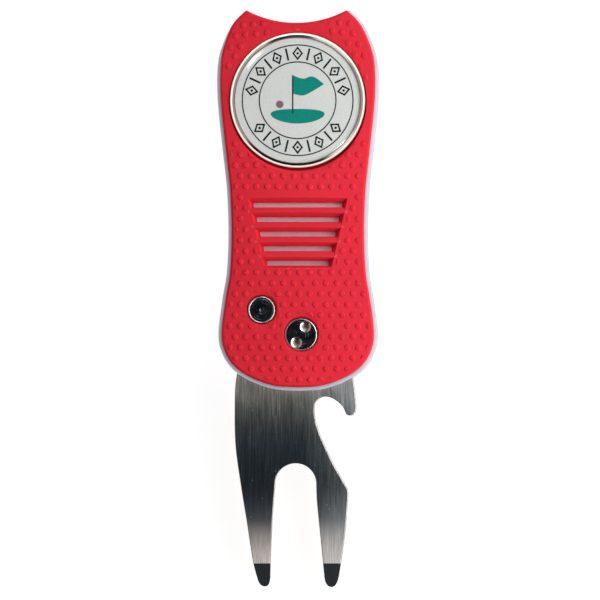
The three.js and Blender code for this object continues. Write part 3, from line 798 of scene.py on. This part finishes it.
def grip(name, node, in_z, out_z, up, holes):
    """A rubber cover: a crowned plate with a rounded edge, slots, dimples and holes for the steel parts. The
    front one also fills the shell's pockets under the slots and the marker."""
    front = up > 0
    thick = abs(out_z - in_z)
    edge_z = out_z - up * CROWN_RISE
    edge = rounded_edge(edge_z, cover_outline, 0.4, up, 5)
    levels = [(in_z, edge[0][1]), *edge]
    mesh = mesh_of(loft(levels if front else levels[::-1]))
    cap = [(edge_z - up * 0.2, cover_outline(0.39)), (out_z + up, cover_outline(0.39))]
    cap = boolean(mesh_of(loft(cap if front else cap[::-1])), crowned_block(out_z, up), "INTERSECT")
    mesh = boolean(mesh, cap, "UNION")
    clear = [(at, r + 0.75) for at, r, _ in holes]
    if front:
        mesh = boolean(mesh, prism(slot_frame(0.45), POCKET_Z, in_z + 0.3), "UNION")
        mesh = boolean(mesh, disc(SEAT, SEAT_R + 0.35, POCKET_Z, in_z + 0.3, 160), "UNION")
        mesh = boolean(mesh, disc(SEAT, SEAT_R, SEAT_Z, out_z + 1, 160))
        mesh = boolean(mesh, disc(MARKER, MAGNET_HOLE_R, POCKET_Z - 1, SEAT_Z + 1))
        clear.insert(0, (SEAT, SEAT_R + 0.45))
    low, high = sorted((out_z - up * 1.5, out_z + up))
    dimples = boolean(mesh_of(dimple_field(out_z, up)), dimple_area(clear, low, high), "INTERSECT")
    mesh = boolean(mesh, dimples, "UNION")
    if front:
        mesh = boolean(mesh, seat_cutter(out_z - crown(SEAT_MOUTH_X)))
    for at, r, mouth_z in holes:
        mesh = boolean(mesh, fitted_hole(at, r, mouth_z, thick, up))
    for k in range(SLOT_COUNT):
        mesh = boolean(mesh, slot_cutter(k, out_z, out_z - POCKET_Z if front else thick, up))
    finished(name, mesh, "handle", RUBBER, [node], sharp=38)


def grips():
    z = FRONT_GRIP_OUT
    front_holes = [(PIVOT, HEAD_HOLE_R, z), (BUTTON, BUTTON_HOLE_R, z - crown(BUTTON[0]))]
    rear_holes = [(PIVOT, HEAD_HOLE_R, REAR_GRIP_OUT)]
    grip("front_rubber", "front_grip", FRONT_SHELL_Z[1], z, 1, front_holes)
    grip("rear_rubber", "rear_grip", REAR_SHELL_Z[0], REAR_GRIP_OUT, -1, rear_holes)


def mould_ticks():
    """Small chevrons of pale flash where the slots end and above the marker, and dashes below the slots."""
    marks = []

    def mark(points, z, width=TICK_WIDTH):
        marks.extend(flat_stroke(points, width, z - TICK_SUNK, z + TICK_PROUD))

    for k in range(1, SLOT_COUNT):
        y = SLOT_TOP_Y - SLOT_PITCH * k + 0.12
        for side in (-1, 1):
            x = side * (slot_half(y) + 0.06)
            for way in (-1, 1):
                mark([(x, y), (x + side * TICK[0], y + way * TICK[1])], FRONT_GRIP_OUT - crown(x))
    top = SEAT[1] + SEAT_R + 0.4
    mark([(-0.3, top + 0.3), (0, top), (0.3, top + 0.3)], FRONT_GRIP_OUT)
    foot = LAST_SLOT_Y - 2.2
    for x in (-1.9, 0.0, 1.9):
        mark([(x - 0.2, foot), (x + 0.25, foot + 0.05)], FRONT_GRIP_OUT, 0.1)
    finished("mould_flash", mesh_of(joined(marks)), "handle", FLASH)


# ------------------------------------------------------------------ fork

SHOULDER, HORN = math.radians(215), math.radians(-47)  # where the notches end, seen from their centres
CORNER_TURN = 0.16  # of a notch, given up to the rounding of its corner
FORK_EDGE_R = 0.16


def notch_corners():
    """The outer corners of the two notches that take the button, with the fork open and closed."""
    closed = (2 * PIVOT[0] - BUTTON[0], 2 * PIVOT[1] - BUTTON[1])
    return around(BUTTON, NOTCH_R, SHOULDER), around(closed, NOTCH_R, HORN)


def fork_outline():
    """Tines, opener hook and tang with the fork open, drawn clockwise and given counter-clockwise."""
    dx, dy = BUTTON[0] - PIVOT[0], BUTTON[1] - PIVOT[1]
    reach, angle = math.hypot(dx, dy), math.atan2(dy, dx)
    closed = (PIVOT[0] - dx, PIVOT[1] - dy)
    notch_end, corner = notch_corners()
    crotch_x, crotch_y, crotch_r = -0.5, -27.65, 3.8
    tip, left_tip = TIP_Y, TIP_Y + 0.1
    points = arc(*BUTTON, NOTCH_R, SHOULDER + CORNER_TURN, angle + math.pi, 24)
    points += arc(*PIVOT, reach - NOTCH_R, angle, angle - math.pi, 48)[1:]
    points += arc(*closed, NOTCH_R, angle, HORN + 2 * math.pi - CORNER_TURN, 30)[1:]
    side = spline([corner, (10.3, -8.6), (10.62, -11.4), (10.75, -13.4)], 24)[2:]
    points += bend(points[-1], corner, side[0])[1:-1] + side
    points += bend((10.75, -13.4), (10.8, -14.9), (9.7, -14.95), 8)[1:]
    points += bend((9.7, -14.95), (9, -15), (8.8, -14.5), 6)[1:]
    points += spline([(8.8, -14.5), (8.1, -13.15), (6.6, -11.9), (5.2, -11.45), (4.1, -11.7), (3.2, -12.6),
                      (3.0, -14), (3.3, -16.1), (4.3, -19.1), (6.5, -23.9)], 80)[1:]
    points += spline([(6.5, -23.9), (8.9, -28.1)], 10)[1:]
    points += bend((8.9, -28.1), (9.3, -28.8), (9.26, -29.6), 8)[1:]
    points += spline([(9.26, -29.6), (8.9, -34.7), (8.3, -39.9), (7.5, -44.8)], 36)[1:]
    points += bend((7.5, -44.8), (7.1, tip), (6.2, tip), 8)[1:]
    points += bend((6.2, tip), (5.1, tip), (4.85, -45.2), 8)[1:]
    points += spline([(4.85, -45.2), (4.1, -37.6), (3.45, -31.2), (crotch_x + crotch_r, crotch_y)], 36)[1:]
    points += arc(crotch_x, crotch_y, crotch_r, 0, math.pi, 36)[1:]
    points += spline([points[-1], (-4.75, -33.3), (-5.02, -38.5), (-5.25, -45.1)], 36)[1:]
    points += bend((-5.25, -45.1), (-5.35, left_tip), (-6.2, left_tip), 8)[1:]
    points += bend((-6.2, left_tip), (-7.2, left_tip), (-7.6, -45.3), 8)[1:]
    points += spline([(-7.6, -45.3), (-8.5, -41.7), (-9.55, -35), (-10.8, -27.3), (-11.75, -19.8),
                      (-11.8, -11), (-11.4, -7.1), (-10.4, -2.5), (-9.6, 0.9), notch_end], 90)[1:-1]
    points += bend(points[-1], notch_end, points[0])[1:-1]
    return list(reversed(points))


def fork_edge(outline, inset):
    """The outline moved in, most along the opener's back, where the plate is ground to a wide bevel, and
    hardly at the notches' corners, where it would cross itself."""
    out = []
    for (x, y), (inner_x, inner_y) in zip(outline, moved_in(outline, inset)):
        wide = 1 + 1.5 * (x > 2.9) * max(0, min(1, (-y - 14) / 3, (29 + y) / 3))
        wide *= min(1, 0.08 + 0.8 * min(math.dist((x, y), corner) for corner in notch_corners()))
        out.append((x + (inner_x - x) * wide, y + (inner_y - y) * wide))
    return out


def fork():
    outline = fork_outline()
    z0, z1 = FORK_Z

    def edge(step):
        return fork_edge(outline, step)

    levels = rounded_edge(z0, edge, FORK_EDGE_R, -1, 3)[::-1] + rounded_edge(z1, edge, FORK_EDGE_R, 1, 3)
    ground = [(TIP_GROUND_Y, z1), (TIP_Y - 1, z1 - 1.1), (TIP_Y - 1, z1 + 1), (TIP_GROUND_Y + 4, z1 + 1)]
    mesh = carved(
        loft(levels),
        disc(PIVOT, FORK_BORE_R, 4, 8),
        disc((PIVOT[0], PIVOT[1] - SPRING_R), 0.5, 4, 8, 32),  # for the spring's leg
        ruled([(x, y, z) for x in (-20, 20) for y, z in ground]),
    )
    finished("fork_plate", mesh, "fork", FORK_STEEL, ["fork"], sharp=40)


# ------------------------------------------------------------------ pivot, button, springs


def spanner_holes(turn, top, up):
    """Two round blind holes with countersunk mouths."""
    profile = [(0, 0.95), (0.62, 0.72), (0.66, 0.3), (0.7, 0.22), (0.96, 0.08), (1.04, 0.0), (1.2, -0.15),
               (1.2, -1), (0, -1)]
    hole = [(r, top - up * depth) for r, depth in profile]
    for side in (-1, 1):
        yield turned(hole, around(PIVOT, side * SPANNER_OUT, turn), 48)


def from_axis(centre, at):
    return (Vector(centre[:2]) - Vector(at)).length


def pivot_screw():
    foot, top = heights("pivot_screw")
    shape = turned([
        (0, foot), (1.2, foot), (1.5, foot + 0.3), (1.5, 10), (2.95, 10), (3.0, 10.05), (3.0, top - 0.16),
        (2.96, top - 0.06), (2.86, top), (2.74, top - 0.02), (2.7, top - 0.08), (0, top - 0.08),
    ], PIVOT)
    mesh = carved(shape, *spanner_holes(SPANNER_TURN, top - 0.08, 1))

    def tone(centre, normal):
        """Bright rim and countersinks; rougher bottoms of the spanner holes, darkened by painted shade."""
        holes = [around(PIVOT, side * SPANNER_OUT, SPANNER_TURN) for side in (-1, 1)]
        from_hole = min(from_axis(centre, hole) for hole in holes)
        if from_hole < 0.69:
            return 2
        return (from_hole < 1.02 and abs(normal.z) < 0.999) or from_axis(centre, PIVOT) > 2.72

    finished("pivot_head", mesh, "handle", [PIVOT_STEEL, BRIGHT_STEEL, HOLE_SHADE_STEEL],
             ["pivot_screw"], tone=tone)


def pivot_barrel():
    foot, top = heights("pivot_barrel")
    shape = turned([
        (0, foot + 0.08), (2.7, foot + 0.08), (2.74, foot + 0.02), (2.86, foot), (2.96, foot + 0.06),
        (3.0, foot + 0.16), (3.0, 2), (2.5, 2), (2.5, top), (1.8, top), (1.8, 3.5), (0, 3.5),
    ], PIVOT)
    mesh = carved(shape, *spanner_holes(REAR_SPANNER_TURN, foot + 0.08, -1))
    finished("pivot_sleeve", mesh, "handle", [PIVOT_STEEL, BRIGHT_STEEL], ["pivot_barrel"],
             tone=lambda centre, normal: from_axis(centre, PIVOT) > 2.72 or abs(normal.z) < 0.99)


def release_button():
    foot, top = heights("release_button")
    face = [(0, top - 0.3), (0.16, top - 0.26), (0.34, top - 0.1)]
    for i in range(5):  # turned grooves
        r = 0.45 + 0.4 * i
        face += [(r, top - 0.05), (r + 0.1, top - 0.085), (r + 0.2, top - 0.05)]
    shape = turned([
        (0, 9.2), (1.45, 9.2), (1.45, foot), (2.85, foot), (2.9, foot + 0.1), (2.9, 6.85), (2.85, 6.9),
        (2.1, 6.9), (2.1, 9.3), (2.5, 9.3), (2.5, top - 0.16), (2.46, top - 0.05), (2.38, top),
        (2.28, top - 0.01), (2.24, top - 0.05), *reversed(face),
    ], BUTTON)
    finished("button_plunger", mesh_of(shape), "button", [BUTTON_STEEL, BRIGHT_STEEL],
             ["release_button"], sharp=50, tone=lambda centre, normal: from_axis(centre, BUTTON) > 2.24)


def ring(name, node, outer, z0, z1):
    shape = disc(PIVOT, outer, z0, z1, 64)
    mesh = carved(shape, disc(PIVOT, FORK_BORE_R, z0 - 1, z1 + 1, 64))
    finished(name, mesh, "handle", NYLON, [node])


def washers():
    for name, node, outer in (("rear_thrust_washer", "rear_washer", 4.2),
                              ("front_thrust_washer", "front_washer", 3.4),
                              ("spring_collar", "spring_spacer", 3.4)):
        ring(name, node, outer, *heights(node))


def torsion_spring():
    """The coil stays with the handle. The leg in the fork's hole is its own piece and turns with the fork."""
    z, pitch, turns, steps = 7.2, 0.5, 2.25, 150
    start = -math.pi / 2

    def at(angle, radius, height):
        return (*around(PIVOT, radius, angle), height)

    leg = [at(start, SPRING_R, height) for height in (5.4, 6.2, 6.9)]
    finished("fork_spring_leg", mesh_of(tube(leg, SPRING_WIRE)), "fork", SPRING_STEEL,
             sharp=60)
    points = [at(start, SPRING_R, z - 0.08)]
    for i in range(1, steps + 1):
        turn = 2 * math.pi * turns * i / steps
        points.append(at(start + turn, SPRING_R, z + pitch * turn / (2 * math.pi)))
    end, end_z = start + 2 * math.pi * turns, z + pitch * turns
    points += [at(end + 0.07, SPRING_R + 0.12, end_z), at(end + 0.09, SPRING_R + 0.35, end_z),
               at(end + 0.08, 5.6, end_z)]
    finished("fork_spring", mesh_of(tube(points, SPRING_WIRE)), "handle", SPRING_STEEL,
             ["torsion_spring"], sharp=60)


def button_spring():
    low, high = span("button_spring")
    turns, per_turn, r, wire, end_gap = 7, 24, 1.05, 0.17, 0.2
    count = turns * per_turn
    points = []
    for i in range(count + 1):
        z = low.z + end_gap + (high.z - low.z - 2 * end_gap) * i / count
        points.append((*around(BUTTON, r, 2 * math.pi * i / per_turn), z))
    piece = finished("button_coil", mesh_of(tube(points, wire, 10)), "handle", SPRING_STEEL,
                     ["button_spring"], sharp=60)
    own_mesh(piece)


def shell_screws():
    """Countersunk cross-head screws under the rear grip, with a thread along the shank."""
    root_r, thread_r, thread_from, thread_pitch = 0.78, 0.9, 3.3, 0.45
    arm_long, arm_half, arm_deep = 1.0, 0.22, 0.6
    for i, (x, y) in enumerate(SCREWS, 1):
        foot, top = heights(f"shell_screw_{i}")
        profile = [(0, foot), (1.3, foot), (1.55, foot + 0.15), (1.6, foot + 0.35), (1.6, SCREW_HEAD_TOP),
                   (0.85, SCREW_HEAD_TOP)]
        z = thread_from
        while z < top - 0.7:
            profile += [(root_r, z), (thread_r, z + 0.12), (root_r, z + 0.24)]
            z += thread_pitch
        profile += [(root_r, top - 0.5), (0, top)]
        cross = [block(x - half_x, x + half_x, y - half_y, y + half_y, foot - 1, foot + arm_deep)
                 for half_x, half_y in ((arm_long, arm_half), (arm_half, arm_long))]
        mesh = carved(turned(profile, (x, y), 40), *cross)
        finished(f"cross_head_screw_{i}", mesh, "handle", SPRING_STEEL, [f"shell_screw_{i}"])


# ------------------------------------------------------------------ ball marker


def marker_base():
    """A nickel tray with a rounded rim, a fine groove and an inner bead."""
    z0, top = heights("marker_base")
    tray = z0 + 0.9
    shoulder = [math.radians(76) * i / 9 for i in range(10)]
    rim = [(12.08 + 0.42 * math.cos(a), top - 0.24 - 0.34 * (1 - math.sin(a))) for a in shoulder]
    bead = [(12.13, top - 0.26), (11.73, top - 0.02), (11.67, top - 0.02), (11.66, top - 0.26)]
    shape = turned([(0, z0), (12.05, z0), (12.38, z0 + 0.12), (12.5, z0 + 0.4), *rim, *bead, (11.64, tray),
                    (0, tray)], MARKER, 200)

    def on_rim(centre, normal):
        return centre.z > top - 0.62 and from_axis(centre, MARKER) > 12.14

    return finished("marker_body", mesh_of(shape), "marker", [NICKEL, WORN_NICKEL],
                    ["marker_base"], sharp=26, tone=on_rim)


def marker_magnet():
    foot, top = heights("marker_magnet")
    r, bevel = 5, 0.15
    profile = [(0, foot), (r - bevel, foot), (r, foot + bevel), (r, top - bevel), (r - bevel, top), (0, top)]
    finished("marker_magnet_disc", mesh_of(turned(profile, MARKER)), "handle", NICKEL,
             ["marker_magnet"])


RING_R, RING_WIDTH, ORNAMENT_R = (10.25, 7.1), 0.22, 8.7
FLAGPOLE_X = -0.9


def flat_ring(r, width, z, sides=128):
    """A thin printed circle."""
    profile = [(r - width / 2, z), (r + width / 2, z), (r + width / 2, z + INK_THICK),
               (r - width / 2, z + INK_THICK)]
    vertices, faces = [], []
    for radius, height in profile:
        vertices += [(*p, height) for p in arc(*MARKER, radius, 0, 2 * math.pi, sides)[:-1]]
    for k in range(4):
        for i in range(sides):
            j = (i + 1) % sides
            a, b = k * sides, ((k + 1) % 4) * sides
            faces.append((a + i, a + j, b + j, b + i))
    return vertices, faces


def printed(points, z):
    return prism([(MARKER[0] + x, MARKER[1] + y) for x, y in points], z, z + INK_THICK)


def stroke(points, width, z, closed=False):
    """Printed lines of one width along points."""
    points = [(MARKER[0] + x, MARKER[1] + y) for x, y in points]
    if closed:
        points.append(points[0])
    return flat_stroke(points, width, z, z + INK_THICK)


def ornament(kind, angle, z):
    """A diamond with a dot, or a bar, standing on the ring between the two circles."""
    turn = Matrix.Rotation(angle - math.pi / 2, 2)
    centre = Vector((math.cos(angle), math.sin(angle))) * ORNAMENT_R

    def there(points):
        return [centre + turn @ Vector(p) for p in points]

    if kind == "bar":
        yield from stroke(there([(0, -0.95), (0, 0.95)]), 0.36, z)
        return
    yield from stroke(there([(0, -1.05), (0.8, 0), (0, 1.05), (-0.8, 0)]), 0.3, z, closed=True)
    yield printed([tuple(p) for p in there(arc(0, 0, 0.24, 0, 2 * math.pi, 12)[:-1])], z)


def marker_print():
    """A generic print: a golf flag on a green inside a ring of diamonds and bars, with no lettering."""
    z0 = heights("marker_print")[0]
    card = turned([(0, z0), (11.5, z0), (11.6, z0 + 0.05), (11.6, CARD_TOP), (0, CARD_TOP)], MARKER, 160)
    finished("printed_disc", mesh_of(card), "marker", CARD, ["marker_print"])

    z = CARD_TOP
    marks = [flat_ring(r, RING_WIDTH, z) for r in RING_R]
    for first, last, count in ((168, 12, 13), (216, 324, 9)):
        for i in range(count):
            angle = math.radians(first + (last - first) * i / (count - 1))
            marks += ornament("bar" if i % 2 else "diamond", angle, z)
    marks += stroke([(FLAGPOLE_X, -2.3), (FLAGPOLE_X, 4.55)], 0.24, z + INK_OVER)
    finished("printed_rings", mesh_of(joined(marks)), "marker", DARK_INK)

    flag = spline([(-0.8, 4.6), (1.0, 4.0), (2.8, 4.4), (4.9, 3.0)], 20)
    flag += spline([(4.9, 3.0), (2.8, 1.7), (1.0, 0.9), (-0.8, 1.2)], 20)[1:]
    mound = [(5.0 * math.cos(a), -2.75 + 1.35 * math.sin(a) + 0.2 * math.cos(2 * a))
             for a in (2 * math.pi * i / 64 for i in range(64))]
    finished("printed_green", mesh_of(joined([printed(list(reversed(flag)), z), printed(mound, z)])),
             "marker", GREEN_INK)
    ball = arc(-3.3, -0.75, 0.68, 0, 2 * math.pi, 32)[:-1]
    finished("printed_ball", mesh_of(printed(ball, z + INK_OVER)), "marker", ROSE_INK)


def marker_dome():
    """Poured resin: steep at its edge and nearly flat across the middle."""
    top = heights("marker_dome")[1]
    base, edge_z, edge_r, fall, steps = CARD_TOP + 0.05, CARD_TOP + 0.09, 11.62, 1.5, 40
    rise = (top - edge_z) / (1 - math.exp(-edge_r / fall))
    inward = [edge_r * (i / steps) ** 2 for i in range(steps)]
    dome = [(edge_r - d, edge_z + rise * (1 - math.exp(-d / fall))) for d in inward]
    shape = turned([(0, base), (edge_r, base), *dome, (0, top)], MARKER, 160)
    return finished("resin_dome", mesh_of(shape), "marker", RESIN, ["marker_dome"], sharp=60)


# ------------------------------------------------------------------ stage


FLOOR_GLOW = 0.79
FLOOR_HALF = 3  # metres


def floor_sheet():
    """A plain floor that glows a little, so that it comes out white."""
    look = Look("pale_floor", Roughness=0.9, Specular_IOR_Level=0.1, Emission_Color=(1, 1, 1, 1),
                Emission_Strength=FLOOR_GLOW)
    patch = look.noise(0.004, 2)
    look.set("Base Color", look.ramp(patch, (0.3, srgb(236, 236, 237)), (0.7, srgb(240, 240, 240))))
    bm = bmesh.new()
    bmesh.ops.create_grid(bm, x_segments=1, y_segments=1, size=FLOOR_HALF)
    mesh = bpy.data.meshes.new("floor")
    bm.to_mesh(mesh)
    bm.free()
    mesh.materials.append(look.material)
    sheet = bpy.data.objects.new("floor", mesh)
    bpy.context.scene.collection.objects.link(sheet)
    return sheet


def lamp(name, at, target, size, power):
    data = bpy.data.lights.new(name, "AREA")
    data.shape, data.energy = "RECTANGLE", power
    data.size, data.size_y = size
    light = bpy.data.objects.new(name, data)
    light.location = at
    light.rotation_euler = (Vector(target) - Vector(at)).to_track_quat("-Z", "Y").to_euler()
    light.visible_camera = False
    bpy.context.scene.collection.objects.link(light)
    return light


def studio():
    """White all round to the eye. As light it is dark overhead and brighter to the right, with three dark
    patches, mainly for the arcs in the marker's rim."""
    world = bpy.data.worlds.new("studio")
    world.use_nodes = True
    sky = Nodes(world.node_tree)
    toward = sky.node("TexCoord").outputs["Generated"]
    overhead = sky.between(sky.axis("Z", toward), 1.0, 0.2, 0.7, 0.93, smooth=True)
    level = sky.times(overhead, sky.between(sky.axis("X", toward), 0.3, 0.9, -1.0, 1.0))
    for direction, near, full, low in (((-0.19, -0.86, 0.47), 0.76, 0.86, 0.02),
                                       ((-0.12, 0.88, 0.47), 0.93, 0.97, 0.05),
                                       ((0.88, 0.1, 0.47), 0.8, 0.92, 0.4)):
        alike = sky.node("VectorMath", in0=toward, in1=Vector(direction).normalized())
        alike.operation = "DOT_PRODUCT"
        patch = sky.between(alike.outputs["Value"], 1.0, low, near, full, smooth=True)
        level = sky.times(level, patch)
    shown = sky.math("MAXIMUM", level, sky.node("LightPath").outputs["Is Camera Ray"])
    sky.tree.nodes["Background"].inputs["Strength"].default_value = 1.0
    sky.feed(sky.tree.nodes["Background"].inputs["Color"], shown)
    bpy.context.scene.world = world


def linked(light, objects, state):
    """Lets a light shine on these objects only, or on everything but them."""
    group = bpy.data.collections.new(f"{light.name}_linking")
    for thing in objects:
        group.objects.link(thing)
    light.light_linking.receiver_collection = group
    for entry in group.collection_objects:
        entry.light_linking.link_state = state


def stage(dome, rim, shells):
    floor = floor_sheet()
    handle_at, marker_at = (0.0, 0.012, 0.01), (0.0, 0.036, 0.01)
    for name, at, size, power, in_gloss, objects, state in (
        ("key_top", (0.07, 0.26, 0.3), (0.2, 0.2), 0.4, True, [floor, dome], "EXCLUDE"),
        ("key_right", (0.11, 0.0, 0.085), (0.26, 0.09), 0.27, True, [floor, dome, rim, *shells], "EXCLUDE"),
        ("fill_front", (0.0, -0.36, 0.2), (0.3, 0.2), 0.22, False, [floor, dome], "EXCLUDE"),
        ("band_right", (0.17, 0.03, 0.13), (0.24, 0.16), 0.26, False, shells, "INCLUDE"),
        ("band_front", (0.0, -0.3, 0.15), (0.3, 0.2), 0.22, False, shells, "INCLUDE"),
        ("rim_wash", (-0.04, 0.1, 0.3), (0.25, 0.25), 0.8, False, [rim], "INCLUDE"),
    ):
        light = lamp(name, at, handle_at, size, power)
        linked(light, objects, state)
        light.visible_glossy = in_gloss
    for name, side in (("glint_left", -1), ("glint_right", 1)):
        at = (side * 0.14, marker_at[1] - side * 0.14, 0.45)
        linked(lamp(name, at, marker_at, (0.05, 0.05), 0.25), [dome], "INCLUDE")
    studio()
    bpy.context.scene.view_settings.view_transform = "Standard"


VIEW_CENTRE = (0.44, 6.4)  # what the middle of the picture looks at, in the handle's frame
VIEW_WIDTH = 111.0
VIEW_FROM = (1.5, -1.0)  # degrees off straight down, to the right and up
CAMERA_HEIGHT = 1500.0


def camera():
    data = bpy.data.cameras.new("main")
    top = heights("front_grip")[1]
    away = CAMERA_HEIGHT - top
    data.sensor_width = 36
    data.lens = data.sensor_width * away / VIEW_WIDTH
    data.clip_start, data.clip_end = 0.05, 20
    view = bpy.data.objects.new("main", data)
    target = Vector((VIEW_CENTRE[0], VIEW_CENTRE[1] + SHIFT_Y, top))
    tilt = [math.tan(math.radians(a)) for a in VIEW_FROM]
    place = target + Vector((tilt[0], tilt[1], 1)) * away
    view.location = place * MM
    view.rotation_euler = (math.atan(-tilt[1]), math.atan(tilt[0]), 0)
    bpy.context.scene.collection.objects.link(view)
    bpy.context.scene.camera = view


camera()
grips()
mould_ticks()
shells = [front_shell(), rear_shell()]
fork()
pivot_screw()
pivot_barrel()
washers()
torsion_spring()
release_button()
button_spring()
shell_screws()
rim = marker_base()
marker_magnet()
marker_print()
stage(marker_dome(), rim, shells)
